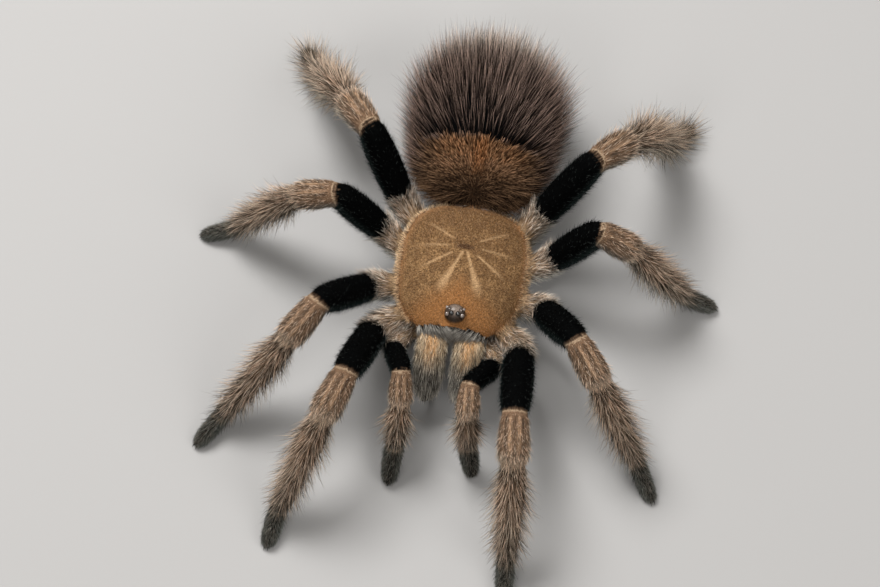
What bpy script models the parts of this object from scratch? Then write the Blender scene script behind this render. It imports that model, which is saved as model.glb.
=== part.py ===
"""A life-size tarantula, standing still with its legs spread.

The spider faces -Y, its left side is +X and the floor is at z = 0. The tables below are in
millimetres and degrees; MM turns lengths into metres. Every outline reaches the tips of the coat.
"""

import math

import bmesh
import bpy
from mathutils import Vector

MM = 0.001
SIDES = {"right": -1, "left": 1}
JOINT_GAP = 0.3
SOCKET_GAP = 0.1
WELD_DISTANCE = 1e-6

# Legs, numbered from the front: hip beside the midline, thickness, and segment lengths hip to toe
HIPS = {1: (6.5, -5.0, 8.3), 2: (6.8, -0.8, 8.3), 3: (6.8, 3.6, 8.3), 4: (6.3, 7.6, 8.3)}
THICKNESS = {1: 1.0, 2: 0.97, 3: 0.95, 4: 1.0}
LENGTHS = {
    1: (7.2, 15.4, 8.4, 10.4, 8.8, 6.4),
    2: (7.0, 13.6, 7.6, 9.6, 8.6, 6.8),
    3: (7.6, 12.5, 6.8, 8.7, 9.2, 6.0),
    4: (7.6, 15.4, 7.3, 11.2, 12.4, 7.3),
}

# The stance: each segment's heading, outward from straight ahead, and its pitch above level
HEADINGS = {
    ("right", 1): (54, 12, 16, 27, 27, 9),
    ("right", 2): (80, 43, 31, 47, 44, 33),
    ("right", 3): (122, 95, 88, 91, 86, 76),
    ("right", 4): (139, 131, 143, 151, 153, 153),
    ("left", 1): (42, 2, 6, 7, 6, 5),
    ("left", 2): (77, 34, 37, 51, 56, 30),
    ("left", 3): (112, 101, 82, 87, 101, 87),
    ("left", 4): (143, 124, 138, 146, 148, 145),
}
PITCHES = {
    ("right", 1): (4, 36, 2, -52, -54),
    ("right", 2): (8, 37, -14, -50, -40),
    ("right", 3): (9, 51, -20, -53, -53),
    ("right", 4): (9, 56, -18, -42, -53),
    ("left", 1): (20, 26, 5, -51, -62),
    ("left", 2): (17, 41, -12, -54, -58),
    ("left", 3): (14, 58, -27, -53, -58),
    ("left", 4): (20, 54, -16, -42, -65),
}
TOE_HEIGHT = 0.75
ROOT_DEPTH = 2.5

# Coat radius along each leg segment, as (fraction of its length, radius)
BASE = ((0, 1.55), (0.45, 2.0), (1, 2.2))
FEMUR = ((0, 2.2), (0.25, 2.6), (0.65, 2.7), (1, 2.35))
PATELLA = ((0, 2.35), (0.3, 2.8), (0.7, 2.95), (1, 2.7))
TIBIA = ((0, 2.7), (0.3, 3.5), (0.7, 3.5), (1, 2.85))
METATARSUS = ((0, 2.85), (0.3, 3.1), (0.65, 2.75), (0.86, 2.25), (1, 1.95))
TARSUS = ((0.2, 1.8), (0.5, 1.7), (0.8, 1.55), (0.94, 1.2), (1, 0.7))
LEG_SIDES = 10

# Palps, the short feelers beside the jaws
PALP_HIP = (4.9, -7.6, 7.6)
PALP_LENGTHS = (6.0, 9.2, 5.4, 6.8, 7.6)
PALP_HEADINGS = {"right": (43, -19, -6, 0, 2), "left": (31, -31, 5, 22, 29)}
PALP_PITCHES = {"right": (7, 42, -34, -52), "left": (17, 34, -10, -80)}
PALP_BASE = ((0, 1.1), (0.5, 1.4), (0.8, 1.55), (1, 1.6))
PALP_FEMUR = ((0.16, 1.65), (0.5, 1.8), (1, 1.8))
PALP_PATELLA = ((0, 1.8), (0.35, 2.1), (0.62, 2.2), (1, 2.3))
PALP_TIBIA = ((0.3, 2.5), (0.65, 2.4), (1, 1.9))
PALP_TARSUS = ((0, 1.9), (0.3, 1.7), (0.75, 1.5), (0.92, 1.3), (1, 0.9))
PALP_TOE_HEIGHT = -0.1
PALP_SIDES = 8

# Head shield (carapace): its plan is a rounded square, its rim lifts at the front and rear
SHIELD_CENTRE_Y = 1.35
SHIELD_HALF = (10.6, 12.0)
SHIELD_SQUARENESS = 3.2
SHIELD_FRONT_TAPER = 0.19
SHIELD_FRONT_EDGE = -9.5
SHIELD_RIM_HEIGHT = 10.0
SHIELD_RIM_LIFT = 1.3
SHIELD_DOME = 4.7
SHIELD_UNDERSIDE = 1.0
BROW_PLACE = (0.0, -5.6)
BROW_SPREAD = (4.6, 4.4)
BROW_RISE = 1.3

# Underside of the head (sternum), which the hips meet
STERNUM_CENTRE = (0.0, 1.4, 7.7)
STERNUM_HALF = (5.6, 10.2, 3.0)

# Eye mound and the four pairs of eyes on it, as (x, y from the mound's centre, radius)
MOUND_CENTRE = (0.0, -7.6, 15.0)
MOUND_HALF = (1.7, 1.4, 1.3)
EYES = {
    "front_middle": (0.52, -0.62, 0.31),
    "front_outer": (1.2, -0.66, 0.36),
    "rear_outer": (1.3, 0.4, 0.28),
    "rear_middle": (0.88, 0.0, 0.22),
}
EYE_SUNK = 0.35

# Jaws and fangs, as (x beside the midline, y, z, radius)
JAW = (
    (3.0, -8.0, 10.7, 2.2),
    (3.0, -11.2, 10.9, 2.6),
    (2.95, -14.0, 9.0, 2.5),
    (2.9, -16.2, 6.6, 2.2),
    (2.85, -17.4, 4.7, 1.6),
)
FANG = (
    (2.95, -18.0, 4.2, 0.75),
    (2.9, -17.5, 2.9, 0.62),
    (2.8, -16.1, 2.0, 0.45),
    (2.7, -14.4, 1.8, 0.3),
)

# Abdomen, the waist that joins it to the head, and the two spinnerets under its tail
ABDOMEN_CENTRE = (0.0, 29.2, 12.3)
ABDOMEN_HALF = (14.4, 15.8, 11.1)
ABDOMEN_TAPER = 0.08
ABDOMEN_FRONT_BREADTH = 0.35
WAIST = ((0.0, 12.1, 9.3, 1.7), (0.0, 17.5, 10.5, 2.4))
SPINNERET = ((1.5, 40.0, 8.2, 1.1), (1.9, 45.4, 7.1, 0.8), (2.2, 47.2, 7.7, 0.4))

COLOURS = {
    "shield": ((0.42, 0.22, 0.09), 0.75),
    "velvet": ((0.015, 0.017, 0.018), 0.9),
    "abdomen": ((0.06, 0.035, 0.025), 0.9),
    "shin": ((0.24, 0.17, 0.13), 0.85),
    "hip": ((0.2, 0.17, 0.14), 0.85),
    "pad": ((0.11, 0.12, 0.12), 0.8),
    "jaw": ((0.38, 0.24, 0.14), 0.8),
    "fang": ((0.02, 0.015, 0.012), 0.25),
    "eye": ((0.008, 0.008, 0.009), 0.08),
}


def clear_scene():
    for obj in list(bpy.data.objects):
        bpy.data.objects.remove(obj, do_unlink=True)


def new_collection(name):
    collection = bpy.data.collections.new(name)
    bpy.context.scene.collection.children.link(collection)
    return collection


def make_finish(name):
    colour, roughness = COLOURS[name]
    finish = bpy.data.materials.new(name)
    finish.use_nodes = True
    shader = finish.node_tree.nodes["Principled BSDF"]
    shader.inputs["Base Color"].default_value = (*colour, 1.0)
    shader.inputs["Roughness"].default_value = roughness
    shader.inputs["Metallic"].default_value = 0.0
    return finish


def add_part(name, mesh, finish):
    """Puts a finished mesh into the spider, hung from its stance."""
    mesh.shade_smooth()
    mesh.set_sharp_from_angle(angle=math.radians(40))
    mesh.materials.clear()
    mesh.materials.append(FINISHES[finish])
    obj = bpy.data.objects.new(name, mesh)
    obj.parent = STANCE
    SPIDER.objects.link(obj)
    return obj


def add_cutter(name, mesh):
    """A hidden shape that others are joined with or cut by, in plain triangles for clean cuts."""
    obj = bpy.data.objects.new(name, mesh)
    obj.modifiers.new("triangles", "TRIANGULATE")
    obj.parent = STANCE
    obj.hide_render = True
    obj.display_type = "WIRE"
    CUTTERS.objects.link(obj)
    return obj


def combine(obj, other, operation):
    step = obj.modifiers.new(f"{operation.lower()}_{other.name}", "BOOLEAN")
    step.operation = operation
    step.object = other
    step.solver = "EXACT"


def tube_mesh(name, stations, sides):
    """A closed round tube through stations of (centre, radius)."""
    curve = bpy.data.curves.new(name, "CURVE")
    curve.dimensions = "3D"
    curve.bevel_depth = MM
    curve.bevel_resolution = sides // 2 - 2
    curve.use_fill_caps = True
    spline = curve.splines.new("POLY")
    spline.points.add(len(stations) - 1)
    for point, (centre, radius) in zip(spline.points, stations):
        point.co = (*(centre * MM), 1.0)
        point.radius = radius
    holder = bpy.data.objects.new(name, curve)
    bpy.context.scene.collection.objects.link(holder)
    depsgraph = bpy.context.evaluated_depsgraph_get()
    mesh = bpy.data.meshes.new_from_object(holder.evaluated_get(depsgraph))
    bpy.data.objects.remove(holder)
    bpy.data.curves.remove(curve)
    body = bmesh.new()
    body.from_mesh(mesh)
    bmesh.ops.remove_doubles(body, verts=body.verts, dist=WELD_DISTANCE)
    bmesh.ops.recalc_face_normals(body, faces=body.faces)
    body.to_mesh(mesh)
    body.free()
    return mesh


def ball_mesh(name, place, segments, rings):
    """A sphere whose unit directions are sent to their places by a function."""
    body = bmesh.new()
    bmesh.ops.create_uvsphere(body, u_segments=segments, v_segments=rings, radius=1.0)
    for vertex in body.verts:
        vertex.co = Vector(place(vertex.co)) * MM
    bmesh.ops.recalc_face_normals(body, faces=body.faces)
    mesh = bpy.data.meshes.new(name)
    body.to_mesh(mesh)
    body.free()
    return mesh


def ellipsoid_mesh(name, centre, half, segments, rings):
    return ball_mesh(
        name,
        lambda unit: [c + h * u for c, h, u in zip(centre, half, unit)],
        segments,
        rings,
    )


def cut_mesh(mesh, point, outward):
    """Takes away what lies beyond a plane and closes the cut with one flat face."""
    body = bmesh.new()
    body.from_mesh(mesh)
    geometry = body.verts[:] + body.edges[:] + body.faces[:]
    cut = bmesh.ops.bisect_plane(
        body, geom=geometry, plane_co=point * MM, plane_no=outward, clear_outer=True
    )
    rim = [part for part in cut["geom_cut"] if isinstance(part, bmesh.types.BMEdge)]
    bmesh.ops.edgeloop_fill(body, edges=rim)
    bmesh.ops.recalc_face_normals(body, faces=body.faces)
    body.to_mesh(mesh)
    body.free()


def direction(side, heading, pitch):
    heading = math.radians(heading)
    pitch = math.radians(pitch)
    return Vector(
        (
            SIDES[side] * math.sin(heading) * math.cos(pitch),
            -math.cos(heading) * math.cos(pitch),
            math.sin(pitch),
        )
    )


def chain_points(side, hip, lengths, headings, pitches, toe_height):
    """The joints of a limb from hip to toe; the last segment comes down to the toe's height."""
    points = [Vector((SIDES[side] * hip[0], hip[1], hip[2]))]
    for length, heading, pitch in zip(lengths, headings, pitches):
        points.append(points[-1] + direction(side, heading, pitch) * length)
    pitch = math.degrees(math.asin((toe_height - points[-1].z) / lengths[-1]))
    points.append(points[-1] + direction(side, headings[-1], pitch) * lengths[-1])
    return points


def joint_normal(points, joint):
    """The direction along the leg at a joint, halfway between its two segments."""
    before = (points[joint] - points[joint - 1]).normalized()
    after = (points[joint + 1] - points[joint]).normalized()
    return (before + after).normalized()


def stations_along(points, profiles, thickness):
    stations = []
    for start, end, profile in zip(points, points[1:], profiles):
        for fraction, radius in profile:
            stations.append((start.lerp(end, fraction), radius * thickness))
    return stations


def lengthen(stations, amount, taper):
    """Runs the last station on past the joint, so that the slanted cut has material to meet."""
    centre, radius = stations[-1]
    onward = (centre - stations[-2][0]).normalized()
    stations.append((centre + onward * amount, radius * taper))


def limb_piece(name, points, first, last, profiles, thickness, sides, finish):
    """The length of a limb between two of its joints, parted from its neighbours there."""
    stations = stations_along(points[first : last + 1], profiles, thickness)
    reaches_toe = last == len(points) - 1
    starts_at_hip = first == 0
    overrun = stations[-1][1] * 1.15
    if not reaches_toe:
        lengthen(stations, overrun, 0.8)
    stations.reverse()
    lengthen(stations, ROOT_DEPTH if starts_at_hip else overrun, 0.8)
    stations.reverse()
    mesh = tube_mesh(name, stations, sides)
    if not starts_at_hip:
        normal = joint_normal(points, first)
        cut_mesh(mesh, points[first] + normal * JOINT_GAP / 2, -normal)
    if not reaches_toe:
        normal = joint_normal(points, last)
        cut_mesh(mesh, points[last] - normal * JOINT_GAP / 2, normal)
    else:
        cut_mesh(mesh, Vector((0, 0, 0)), Vector((0, 0, -1)))
    piece = add_part(name, mesh, finish)
    if starts_at_hip:
        combine(piece, HEAD_CLEARANCE, "DIFFERENCE")
    return piece


def make_leg(side, number):
    points = chain_points(
        side,
        HIPS[number],
        LENGTHS[number],
        HEADINGS[side, number],
        PITCHES[side, number],
        TOE_HEIGHT,
    )
    pieces = (
        ("base", 0, 1, (BASE,), "hip"),
        ("femur", 1, 2, (FEMUR,), "velvet"),
        ("patella", 2, 3, (PATELLA,), "shin"),
        ("tibia", 3, 4, (TIBIA,), "shin"),
        ("foot", 4, 6, (METATARSUS, TARSUS), "pad"),
    )
    for word, first, last, profiles, finish in pieces:
        name = f"leg_{number}_{side}_{word}"
        thickness = THICKNESS[number]
        limb_piece(name, points, first, last, profiles, thickness, LEG_SIDES, finish)


def make_palp(side):
    points = chain_points(
        side,
        PALP_HIP,
        PALP_LENGTHS,
        PALP_HEADINGS[side],
        PALP_PITCHES[side],
        PALP_TOE_HEIGHT,
    )
    pieces = (
        ("thigh", 0, 2, (PALP_BASE, PALP_FEMUR), "velvet"),
        ("shin", 2, 4, (PALP_PATELLA, PALP_TIBIA), "shin"),
        ("foot", 4, 5, (PALP_TARSUS,), "pad"),
    )
    for word, first, last, profiles, finish in pieces:
        name = f"palp_{side}_{word}"
        limb_piece(name, points, first, last, profiles, 1.0, PALP_SIDES, finish)


def rounded_square(unit, half, squareness):
    """Sends a direction in plan onto a rounded square of the same height of ring."""
    ring = math.hypot(unit.x, unit.y)
    if ring < 1e-9:
        return 0.0, 0.0
    power = 2.0 / squareness
    across = math.copysign(abs(unit.x / ring) ** power, unit.x)
    along = math.copysign(abs(unit.y / ring) ** power, unit.y)
    return half[0] * across * ring, half[1] * along * ring


def shield_place(unit, grow):
    half = [size + grow for size in SHIELD_HALF]
    x, y = rounded_square(unit, half, SHIELD_SQUARENESS)
    x *= 1 - SHIELD_FRONT_TAPER * max(0.0, -y / half[1]) ** 1.5
    rim = SHIELD_RIM_HEIGHT + SHIELD_RIM_LIFT * (y / half[1]) ** 2
    y += SHIELD_CENTRE_Y
    if unit.z < 0:
        return x, y, rim + (SHIELD_UNDERSIDE + grow) * unit.z
    across = (x - BROW_PLACE[0]) / BROW_SPREAD[0]
    along = (y - BROW_PLACE[1]) / BROW_SPREAD[1]
    brow = BROW_RISE * math.exp(-(across**2) - along**2) * unit.z
    return x, y, rim + (SHIELD_DOME + grow) * unit.z + brow


def sternum_place(unit, grow):
    half = [size + grow for size in STERNUM_HALF]
    x, y = rounded_square(unit, half, 2.6)
    return x + STERNUM_CENTRE[0], y + STERNUM_CENTRE[1], STERNUM_CENTRE[2] + half[2] * unit.z


def head_meshes(prefix, grow):
    shield = ball_mesh(f"{prefix}_shield", lambda unit: shield_place(unit, grow), 28, 12)
    cut_mesh(shield, Vector((0, SHIELD_FRONT_EDGE - grow, 0)), Vector((0, -1, 0)))
    sternum = ball_mesh(f"{prefix}_sternum", lambda unit: sternum_place(unit, grow), 20, 8)
    return shield, sternum


def make_head_clearance():
    """The head grown by the joint gap: what meets the head is cut back to it."""
    shield, sternum = head_meshes("clearance", JOINT_GAP)
    clearance = add_cutter("head_clearance", shield)
    combine(clearance, add_cutter("sternum_clearance", sternum), "UNION")
    return clearance


def eye_centres():
    for word, (x, y, radius) in EYES.items():
        rise = math.sqrt(1 - (x / MOUND_HALF[0]) ** 2 - (y / MOUND_HALF[1]) ** 2)
        z = MOUND_HALF[2] * rise - radius * EYE_SUNK
        for side, sign in SIDES.items():
            yield f"eye_{word}_{side}", Vector(MOUND_CENTRE) + Vector((sign * x, y, z)), radius


def make_head():
    shield, sternum = head_meshes("head", 0.0)
    head = add_part("head", shield, "shield")
    combine(head, add_cutter("head_sternum", sternum), "UNION")
    mound = ellipsoid_mesh("eye_mound", MOUND_CENTRE, MOUND_HALF, 16, 8)
    combine(head, add_cutter("eye_mound", mound), "UNION")
    for name, centre, radius in eye_centres():
        socket_half = (radius + SOCKET_GAP,) * 3
        socket = ellipsoid_mesh(f"{name}_socket", centre, socket_half, 8, 5)
        combine(head, add_cutter(f"{name}_socket", socket), "DIFFERENCE")
        add_part(name, ellipsoid_mesh(name, centre, (radius,) * 3, 8, 5), "eye")


def beside(side, row):
    return Vector((SIDES[side] * row[0], row[1], row[2])), row[3]


def make_jaw(side):
    jaw = tube_mesh(f"jaw_{side}", [beside(side, row) for row in JAW], LEG_SIDES)
    brow = Vector((0, SHIELD_FRONT_EDGE - JOINT_GAP, 0))
    cut_mesh(jaw, brow, Vector((0, 1, 0)))
    add_part(f"jaw_{side}", jaw, "jaw")
    fang = tube_mesh(f"fang_{side}", [beside(side, row) for row in FANG], PALP_SIDES)
    add_part(f"fang_{side}", fang, "fang")


def abdomen_place(unit):
    """An egg, narrower toward the waist."""
    x, y, z = (c + h * u for c, h, u in zip(ABDOMEN_CENTRE, ABDOMEN_HALF, unit))
    broad = ABDOMEN_FRONT_BREADTH * max(0.0, -unit.y) ** 4
    return x * (1 + ABDOMEN_TAPER * unit.y + broad), y, z


def make_abdomen():
    abdomen = add_part("abdomen", ball_mesh("abdomen", abdomen_place, 24, 14), "abdomen")
    waist = tube_mesh("waist", [beside("left", row) for row in WAIST], LEG_SIDES)
    combine(abdomen, add_cutter("waist", waist), "UNION")
    for side in SIDES:
        name = f"spinneret_{side}"
        spinneret = tube_mesh(name, [beside(side, row) for row in SPINNERET], LEG_SIDES)
        combine(abdomen, add_cutter(name, spinneret), "UNION")
    combine(abdomen, HEAD_CLEARANCE, "DIFFERENCE")


def centre_on_footprint():
    """Moves the stance so that the spider's footprint is centred on the origin."""
    bpy.context.view_layer.update()
    depsgraph = bpy.context.evaluated_depsgraph_get()
    corners = []
    for part in SPIDER.objects:
        for corner in part.evaluated_get(depsgraph).data.vertices:
            corners.append(part.matrix_world @ corner.co)
    for axis in (0, 1):
        values = [corner[axis] for corner in corners]
        STANCE.location[axis] -= (min(values) + max(values)) / 2
    bpy.context.view_layer.update()


clear_scene()
SPIDER = new_collection("tarantula")
CUTTERS = new_collection("cutters")
STANCE = bpy.data.objects.new("stance", None)
CUTTERS.objects.link(STANCE)
FINISHES = {name: make_finish(name) for name in COLOURS}
HEAD_CLEARANCE = make_head_clearance()
make_head()
make_abdomen()
for spider_side in SIDES:
    make_jaw(spider_side)
    make_palp(spider_side)
    for leg_number in HIPS:
        make_leg(spider_side, leg_number)
centre_on_footprint()
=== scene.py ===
import math
from functools import partial, reduce

import bpy
import numpy as np
from mathutils import Matrix, Vector
from mathutils.kdtree import KDTree


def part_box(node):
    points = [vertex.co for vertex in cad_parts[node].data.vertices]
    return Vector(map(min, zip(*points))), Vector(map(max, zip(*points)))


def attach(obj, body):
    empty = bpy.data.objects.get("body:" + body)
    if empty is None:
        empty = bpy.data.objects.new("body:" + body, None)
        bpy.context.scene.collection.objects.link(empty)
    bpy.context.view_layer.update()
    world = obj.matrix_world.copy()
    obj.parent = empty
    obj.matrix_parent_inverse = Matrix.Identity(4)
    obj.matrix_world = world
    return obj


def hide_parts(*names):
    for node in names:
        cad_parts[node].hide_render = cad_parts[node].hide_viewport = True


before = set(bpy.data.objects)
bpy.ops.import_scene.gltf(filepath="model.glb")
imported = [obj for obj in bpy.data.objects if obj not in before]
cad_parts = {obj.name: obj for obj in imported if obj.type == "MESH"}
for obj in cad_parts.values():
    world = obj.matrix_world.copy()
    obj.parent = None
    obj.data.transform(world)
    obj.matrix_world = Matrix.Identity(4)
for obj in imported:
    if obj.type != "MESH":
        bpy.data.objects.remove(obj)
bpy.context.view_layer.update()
bpy.ops.object.select_all(action="DESELECT")


# ---------------------------------------------------------------- legs and palps, bare
# Eight walking legs and two palps, each a chain of short hard tubes with soft hide over it.
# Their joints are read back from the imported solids, and each limb gets a rounded centre line
# with the bare limb's radius, thinner than the solids by the depth of the coat.
MM = 0.001
SIDES = {"right": -1, "left": 1}
LEG_NUMBERS = (1, 2, 3, 4)
LEG_BASE_LENGTH = 7.2
PALP_BASE_LENGTH = 6.0
CORNER_ROUNDING = 1.1
LINE_SPACING = 0.4
LIMB_SIDES = 18
THICKNESS = {1: 1.0, 2: 0.97, 3: 0.95, 4: 1.0}
LEG_RADII = (
    (0, 1.6), (0.5, 1.95), (0.93, 2.05), (1.0, 1.9), (1.12, 2.2), (1.4, 2.5), (1.7, 2.5),
    (1.94, 2.25), (2.03, 1.95), (2.18, 2.2), (2.6, 2.45), (2.88, 2.4), (2.98, 2.15), (3.04, 1.65),
    (3.2, 1.85), (3.6, 2.0), (3.93, 1.75), (4.0, 1.55), (4.15, 1.65), (4.6, 1.55), (4.93, 1.35),
    (5.02, 1.25), (5.2, 1.35), (5.6, 1.32), (5.88, 1.1), (6.0, 0.65),
)
PALP_RADII = (
    (0, 1.1), (0.6, 1.4), (1.0, 1.4), (1.3, 1.65), (1.8, 1.65), (2.03, 1.5), (2.4, 1.85),
    (2.8, 1.9), (2.96, 1.65), (3.03, 1.3), (3.4, 1.6), (3.8, 1.5), (4.0, 1.35), (4.25, 1.5),
    (4.7, 1.4), (4.9, 1.15), (5.0, 0.7),
)


def read_rows(items, key, kind=float):
    """Three numbers of each of a mesh's points or triangles, as rows."""
    values = np.empty(len(items) * 3, kind)
    items.foreach_get(key, values)
    return values.reshape(-1, 3)


def read_solid(node):
    """The centre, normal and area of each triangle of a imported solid."""
    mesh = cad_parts[node].data
    mesh.calc_loop_triangles()
    corners = read_rows(mesh.loop_triangles, "vertices", np.int32)
    sides = read_rows(mesh.vertices, "co")[corners]
    cross = np.cross(sides[:, 1] - sides[:, 0], sides[:, 2] - sides[:, 0])
    doubled = np.linalg.norm(cross, axis=1)
    keep = doubled > 1e-12
    return sides.mean(1)[keep], cross[keep] / doubled[keep, None], doubled[keep] / 2


def flat_faces(node):
    """The centres of a solid's three largest flat faces, which are its cut ends."""
    centres, normals, areas = read_solid(node)
    heights = (centres * normals).sum(1)
    alike = (normals @ normals.T > 0.9998) & (abs(heights[:, None] - heights) < 2e-5)
    faces = []
    for _ in range(3):
        group = alike[(alike @ areas).argmax()]
        faces.append(areas[group] @ centres[group] / areas[group].sum())
        areas = areas * ~group
    return faces


def meeting(node, other):
    """The joint's centre, where the cut ends of two neighbouring solids face each other."""
    pairs = [(p, q) for p in flat_faces(node) for q in flat_faces(other)]
    p, q = min(pairs, key=lambda pair: np.linalg.norm(pair[0] - pair[1]))
    return (p + q) / 2


def axis_at(node, point, reach):
    """The direction of a solid's tube near one end, pointing away from that end."""
    centres, normals, areas = read_solid(node)
    toward = areas @ centres / areas.sum() - point
    toward /= np.linalg.norm(toward)
    near = (np.linalg.norm(centres - point, axis=1) < reach * MM) & (abs(normals @ toward) < 0.55)
    axis = np.linalg.eigh((normals[near].T * areas[near]) @ normals[near])[1][:, 0]
    return axis * math.copysign(1.0, axis @ toward)


def crossing(point, along, other, across):
    """Where two lines come closest, which is the bend inside a solid of two lengths."""
    sides = np.array([[along @ along, -along @ across], [along @ across, -across @ across]])
    reach = np.linalg.solve(sides, np.array([along @ (other - point), across @ (other - point)]))
    return (point + along * reach[0] + other + across * reach[1]) / 2


def far_end(node, point):
    """The tip of a solid, seen from its other end."""
    centres, _, areas = read_solid(node)
    away = np.linalg.norm(centres - point, axis=1)
    last = away > away.max() * 0.96
    return areas[last] @ centres[last] / areas[last].sum()


def leg_joints(leg):
    base, femur, patella, tibia, foot = (f"{leg}_{word}" for word in
                                         ("base", "femur", "patella", "tibia", "foot"))
    joints = [meeting(*pair) for pair in
              ((base, femur), (femur, patella), (patella, tibia), (tibia, foot))]
    hip = joints[0] + axis_at(base, joints[0], 4.5) * LEG_BASE_LENGTH * MM
    toe = far_end(foot, joints[3])
    ankle = crossing(joints[3], axis_at(foot, joints[3], 5), toe, axis_at(foot, toe, 4.5))
    return np.array([hip, *joints, ankle, toe])


def palp_joints(palp):
    thigh, shin, foot = (f"{palp}_{word}" for word in ("thigh", "shin", "foot"))
    knee = meeting(thigh, shin)
    wrist = meeting(shin, foot)
    hip = far_end(thigh, knee)
    elbow = crossing(knee, axis_at(thigh, knee, 6), hip, axis_at(thigh, hip, 4))
    hip = elbow + (hip - elbow) / np.linalg.norm(hip - elbow) * PALP_BASE_LENGTH * MM
    bend = crossing(knee, axis_at(shin, knee, 3.5), wrist, axis_at(shin, wrist, 4.5))
    return np.array([hip, elbow, knee, bend, wrist, far_end(foot, wrist)])


def unit(vectors):
    return vectors / np.linalg.norm(vectors, axis=-1, keepdims=True)


def framed(centre, place, radius):
    """A centre line with its frame: at each station the ways ahead, up and to the side."""
    ahead = unit(np.gradient(centre, axis=0))
    top = unit(np.array([0, 0, 1.0]) - ahead * ahead[:, 2:])
    return {"centre": centre, "ahead": ahead, "top": top, "side": np.cross(ahead, top),
            "place": place, "radius": radius}


def follow(joints, radii, thickness=1.0):
    """A limb's centre line, rounded at its joints, with its place in the chain and radius."""
    path = [joints[0]]
    places = [0.0]
    for number in range(1, len(joints) - 1):
        here = joints[number]
        back, ahead = joints[number - 1] - here, joints[number + 1] - here
        far_back, far_ahead = np.linalg.norm(back), np.linalg.norm(ahead)
        cut = min(CORNER_ROUNDING * MM, 0.35 * far_back, 0.35 * far_ahead)
        for turn in np.linspace(0, 1, 7):
            away = (1 - turn) ** 2 * back / far_back + turn**2 * ahead / far_ahead
            path.append(here + cut * away)
            places.append(number - (1 - turn) * cut / far_back + turn * cut / far_ahead)
    path.append(joints[-1])
    places.append(len(joints) - 1.0)
    path = np.array(path)
    travelled = np.concatenate([[0], np.cumsum(np.linalg.norm(np.diff(path, axis=0), axis=1))])
    count = int(travelled[-1] / (LINE_SPACING * MM)) + 2
    stations = np.linspace(0, travelled[-1], count)
    centre = np.stack([np.interp(stations, travelled, path[:, axis]) for axis in range(3)], 1)
    place = np.interp(stations, travelled, places)
    return framed(centre, place, np.interp(place, *np.array(radii).T) * thickness * MM)


def rings(line, sides=LIMB_SIDES):
    turn = np.arange(sides) * math.tau / sides
    up, out = np.cos(turn), np.sin(turn)
    power = line.get("squareness", 2)
    stretch = (abs(up) ** power + abs(out) ** power) ** (-1 / power)
    up, out = up * stretch, out * stretch
    around = line["top"][:, None] * up[:, None] + line["side"][:, None] * out[:, None]
    return line["centre"][:, None] + around * line["radius"][:, None, None]


def put(name, data):
    piece = bpy.data.objects.new(name, data)
    bpy.context.collection.objects.link(piece)
    return piece


def tube(name, line, sides=LIMB_SIDES):
    """A closed tube round a centre line."""
    circles = rings(line, sides)
    count = len(circles)
    faces = [(r * sides + k, r * sides + (k + 1) % sides, (r + 1) * sides + (k + 1) % sides,
              (r + 1) * sides + k) for r in range(count - 1) for k in range(sides)]
    faces.append(tuple(range(sides))[::-1])
    faces.append(tuple(range((count - 1) * sides, count * sides)))
    mesh = bpy.data.meshes.new(name)
    mesh.from_pydata(circles.reshape(-1, 3).tolist(), [], faces)
    return put(name, mesh)


lines = {}
for side in SIDES:
    for number in LEG_NUMBERS:
        leg = f"leg_{number}_{side}"
        lines[leg] = follow(leg_joints(leg), LEG_RADII, THICKNESS[number])
    lines[f"palp_{side}"] = follow(palp_joints(f"palp_{side}"), PALP_RADII)
flesh = [tube(name, line) for name, line in lines.items()]


# ---------------------------------------------------------------- head, jaws and abdomen, bare
# The head's shield is one low dome with a pit at its middle, from which shallow grooves run
# out. The two jaws hang from its front edge. The soft round abdomen hangs on a thin waist
# and ends in two pairs of spinnerets. All lie inside the solids by the coat's depth.
HEAD_LOW, HEAD_HIGH = (Vector(corner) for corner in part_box("head"))
HEAD_REAR = 13.35
MIDDLE = np.array([(HEAD_LOW.x + HEAD_HIGH.x) / 2 / MM, HEAD_HIGH.y / MM - HEAD_REAR, 0])
SHIELD_CENTRE_Y = 1.35
SHIELD_HALF = (10.4, 11.8)
SHIELD_SQUARENESS = 2.9
SHIELD_FRONT_TAPER = 0.18
SHIELD_FRONT_EDGE = -9.3
SHIELD_RIM_HEIGHT = 10.0
SHIELD_RIM_LIFT = 1.3
SHIELD_DOME = 4.45
SHIELD_UNDERSIDE = 0.8
BROW_PLACE = (0.0, -5.6)
BROW_SPREAD = (4.6, 4.4)
BROW_RISE = 1.3
PIT_PLACE = (0.0, 4.7)
PIT_SPREAD = (1.2, 0.5)
PIT_DEPTH = 0.6
GROOVE_ANGLES = (20.5, 56, 87, 120)
GROOVE_DEPTH = 0.2
GROOVE_WIDTH = 0.7
STERNUM_PLACE = (0.0, 1.4, 7.7)
STERNUM_HALF = (5.2, 9.6, 2.7)
JAW_PATH = ((2.95, -6.6, 9.1, 2.1), (2.95, -9.3, 9.4, 2.4), (2.95, -11.6, 9.9, 2.45),
            (2.9, -13.9, 8.7, 2.35), (2.85, -16.0, 6.6, 1.95), (2.8, -17.1, 4.9, 1.4))
JAW_SQUARENESS = 2.7
ABDOMEN_PLACE = (0.0, 27.6, 12.1)
ABDOMEN_HALF = (11.9, 14.0, 9.7)
ABDOMEN_TAPER = 0.08
ABDOMEN_FRONT_BREADTH = 0.35
ABDOMEN_SHOULDER = 0.14
WAIST_PATH = ((0.0, 10.5, 9.6, 1.3), (0.0, 14.0, 9.8, 1.5), (0.0, 18.5, 10.6, 2.2))
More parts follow.
